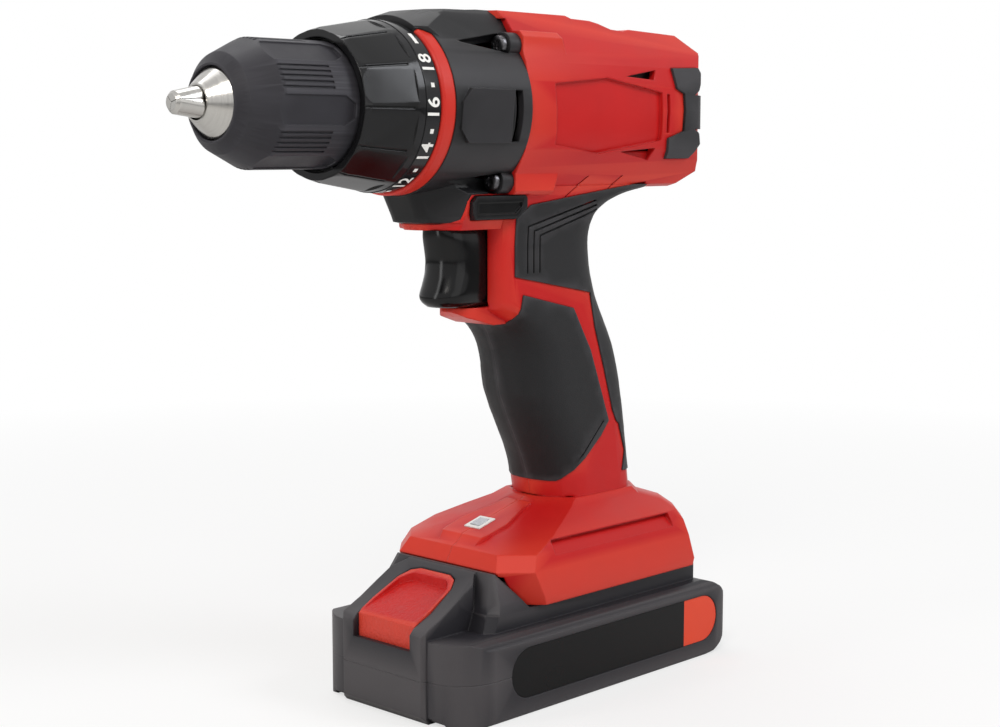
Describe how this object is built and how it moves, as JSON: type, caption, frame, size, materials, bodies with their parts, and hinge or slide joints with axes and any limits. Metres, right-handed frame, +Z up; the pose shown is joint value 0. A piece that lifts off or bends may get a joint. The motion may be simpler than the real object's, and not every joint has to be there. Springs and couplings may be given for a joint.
{
  "type": "cordless drill driver",
  "caption": "Pistol-grip cordless drill driver with keyless chuck, numbered torque collar, two-speed gearbox, trigger and slide-on battery.",
  "frame": {"origin": "on the surface the battery stands on, below the parting plane of the housing, 15.6 mm behind the plane of the gear cover's rear face", "axes": "+Z up from the rest surface, X along the drill axis with the chuck towards -X, Y across the housing"},
  "size_m": [0.2305, 0.076, 0.2413],
  "materials": {
    "red_plastic": "satin moulded red",
    "soft_grip": "matt soft moulding",
    "black_plastic": "satin black moulding",
    "dark_screw": "black oxide",
    "band": "black with white figures",
    "steel": "machined steel",
    "chuck_steel": "dark machined steel",
    "bronze": "sintered bronze or brass",
    "grey_nylon": "glass-filled nylon",
    "motor_steel": "zinc-plated steel",
    "copper": "wound copper on a steel core",
    "dark_plastic": "dark moulding",
    "white_plastic": "white bezel",
    "wire_cover": "wire insulation",
    "battery_plastic": "textured dark grey moulding",
    "cell_wrap": "shrink sleeve",
    "red_textured": "finely textured red"
  },
  "bodies": {
    "tool": {"housing_left": "red_plastic", "housing_right": "red_plastic", "housing_screws": "dark_screw", "grip_left": "soft_grip", "grip_right": "soft_grip", "rear_bumper": "soft_grip", "gear_cover": "black_plastic", "cover_screws": "dark_screw", "accent_ring": "red_plastic", "spindle_bushes": "bronze", "lock_ring": "steel", "gear_case": "grey_nylon", "clutch_spring": "steel", "clutch_washer": "steel", "clutch_pins": "steel", "ring_gear_1": "steel", "ring_gear_3": "steel", "motor_can": "motor_steel", "motor_plate": "motor_steel", "brush_cap": "dark_plastic", "switch_module": "dark_plastic", "led_module": "white_plastic", "terminal_block": "dark_plastic", "wire_harness": "wire_cover"},
    "spindle": {"spindle": "steel", "carrier_3": "steel", "chuck_body": "chuck_steel", "chuck_screw": "steel", "lock_rollers": "steel"},
    "sleeve": {"chuck_sleeve": "black_plastic", "chuck_nut": "steel"},
    "jaw_1": {"jaw_1": "steel"},
    "jaw_2": {"jaw_2": "steel"},
    "jaw_3": {"jaw_3": "steel"},
    "collar": {"torque_collar": "black_plastic", "scale_ring": "band"},
    "clutch_nut": {"clutch_nut": "grey_nylon"},
    "stage_2": {"carrier_2": "steel"},
    "stage_1": {"carrier_1": "steel"},
    "rotor": {"rotor": "copper", "motor_pinion": "steel"},
    "shifter": {"speed_selector": "black_plastic", "shift_wire": "steel", "shift_ring": "steel"},
    "trigger": {"trigger": "black_plastic"},
    "direction": {"direction_slider": "black_plastic"},
    "battery": {"battery_upper": "battery_plastic", "battery_lower": "battery_plastic", "battery_cells": "cell_wrap", "battery_contacts": "bronze"},
    "latch": {"battery_latch": "red_textured"},
    "planet_1a": {"planet_1a": "steel"},
    "planet_1b": {"planet_1b": "steel"},
    "planet_1c": {"planet_1c": "steel"},
    "planet_2a": {"planet_2a": "steel"},
    "planet_2b": {"planet_2b": "steel"},
    "planet_2c": {"planet_2c": "steel"},
    "planet_3a": {"planet_3a": "steel"},
    "planet_3b": {"planet_3b": "steel"},
    "planet_3c": {"planet_3c": "steel"}
  },
  "joints": [
    {"name": "spindle_spin", "type": "hinge", "parent": "tool", "child": "spindle", "pos_m": [-0.07, 0, 0.208], "axis": [1, 0, 0], "continuous": true},
    {"name": "sleeve_turn", "type": "hinge", "parent": "spindle", "child": "sleeve", "pos_m": [-0.1, 0, 0.208], "axis": [1, 0, 0], "range_deg": [0, 5400]},
    {"name": "jaw_1_slide", "type": "slide", "parent": "spindle", "child": "jaw_1", "axis": [0.9781, -0.0538, 0.2008], "range_m": [0, 0.02407]},
    {"name": "jaw_2_slide", "type": "slide", "parent": "spindle", "child": "jaw_2", "axis": [0.9781, 0.2008, -0.0538], "range_m": [0, 0.02407]},
    {"name": "jaw_3_slide", "type": "slide", "parent": "spindle", "child": "jaw_3", "axis": [0.9781, -0.147, -0.147], "range_m": [0, 0.02407]},
    {"name": "collar_turn", "type": "hinge", "parent": "tool", "child": "collar", "pos_m": [-0.072, 0, 0.208], "axis": [1, 0, 0], "range_deg": [0, 315]},
    {"name": "clutch_nut_slide", "type": "slide", "parent": "collar", "child": "clutch_nut", "axis": [-1, 0, 0], "range_m": [0, 0.0055]},
    {"name": "stage_2_spin", "type": "hinge", "parent": "tool", "child": "stage_2", "pos_m": [-0.035, 0, 0.208], "axis": [1, 0, 0], "continuous": true},
    {"name": "stage_1_spin", "type": "hinge", "parent": "tool", "child": "stage_1", "pos_m": [-0.024, 0, 0.208], "axis": [1, 0, 0], "continuous": true},
    {"name": "rotor_spin", "type": "hinge", "parent": "tool", "child": "rotor", "pos_m": [0, 0, 0.208], "axis": [1, 0, 0], "continuous": true},
    {"name": "planet_3a_spin", "type": "hinge", "parent": "spindle", "child": "planet_3a", "pos_m": [-0.0405, 0, 0.2188], "axis": [1, 0, 0], "continuous": true},
    {"name": "planet_3b_spin", "type": "hinge", "parent": "spindle", "child": "planet_3b", "pos_m": [-0.0405, 0.00935, 0.2026], "axis": [1, 0, 0], "continuous": true},
    {"name": "planet_3c_spin", "type": "hinge", "parent": "spindle", "child": "planet_3c", "pos_m": [-0.0405, -0.00935, 0.2026], "axis": [1, 0, 0], "continuous": true},
    {"name": "planet_2a_spin", "type": "hinge", "parent": "stage_2", "child": "planet_2a", "pos_m": [-0.0297, 0, 0.2188], "axis": [1, 0, 0], "continuous": true},
    {"name": "planet_2b_spin", "type": "hinge", "parent": "stage_2", "child": "planet_2b", "pos_m": [-0.0297, 0.00935, 0.2026], "axis": [1, 0, 0], "continuous": true},
    {"name": "planet_2c_spin", "type": "hinge", "parent": "stage_2", "child": "planet_2c", "pos_m": [-0.0297, -0.00935, 0.2026], "axis": [1, 0, 0], "continuous": true},
    {"name": "planet_1a_spin", "type": "hinge", "parent": "stage_1", "child": "planet_1a", "pos_m": [-0.0189, 0, 0.2188], "axis": [1, 0, 0], "continuous": true},
    {"name": "planet_1b_spin", "type": "hinge", "parent": "stage_1", "child": "planet_1b", "pos_m": [-0.0189, 0.00935, 0.2026], "axis": [1, 0, 0], "continuous": true},
    {"name": "planet_1c_spin", "type": "hinge", "parent": "stage_1", "child": "planet_1c", "pos_m": [-0.0189, -0.00935, 0.2026], "axis": [1, 0, 0], "continuous": true},
    {"name": "speed_shift", "type": "slide", "parent": "tool", "child": "shifter", "axis": [1, 0, 0], "range_m": [0, 0.0045]},
    {"name": "trigger_pull", "type": "slide", "parent": "tool", "child": "trigger", "axis": [1, 0, 0], "range_m": [0, 0.0065], "stiffness_N_per_m": 1500, "springref_m": -0.003},
    {"name": "direction_shift", "type": "slide", "parent": "tool", "child": "direction", "axis": [0, 1, 0], "range_m": [-0.003, 0.003]},
    {"name": "battery_slide", "type": "slide", "parent": "tool", "child": "battery", "axis": [-1, 0, 0], "range_m": [0, 0.1]},
    {"name": "latch_press", "type": "slide", "parent": "battery", "child": "latch", "axis": [0, 0, -1], "range_m": [0, 0.003], "stiffness_N_per_m": 2000, "springref_m": -0.002}
  ],
  "couplings": [
    {"joint": "jaw_1_slide", "follows": "sleeve_turn", "m_per_rad": 0.00025518},
    {"joint": "jaw_2_slide", "follows": "sleeve_turn", "m_per_rad": 0.00025518},
    {"joint": "jaw_3_slide", "follows": "sleeve_turn", "m_per_rad": 0.00025518},
    {"joint": "clutch_nut_slide", "follows": "collar_turn", "m_per_rad": 0.0010004},
    {"joint": "stage_2_spin", "follows": "spindle_spin", "ratio": 4},
    {"joint": "stage_1_spin", "follows": "spindle_spin", "ratio": 16},
    {"joint": "rotor_spin", "follows": "spindle_spin", "ratio": 64},
    {"joint": "planet_3a_spin", "follows": "spindle_spin", "ratio": -3},
    {"joint": "planet_3b_spin", "follows": "spindle_spin", "ratio": -3},
    {"joint": "planet_3c_spin", "follows": "spindle_spin", "ratio": -3},
    {"joint": "planet_2a_spin", "follows": "spindle_spin", "ratio": -12},
    {"joint": "planet_2b_spin", "follows": "spindle_spin", "ratio": -12},
    {"joint": "planet_2c_spin", "follows": "spindle_spin", "ratio": -12},
    {"joint": "planet_1a_spin", "follows": "spindle_spin", "ratio": -48},
    {"joint": "planet_1b_spin", "follows": "spindle_spin", "ratio": -48},
    {"joint": "planet_1c_spin", "follows": "spindle_spin", "ratio": -48}
  ]
}
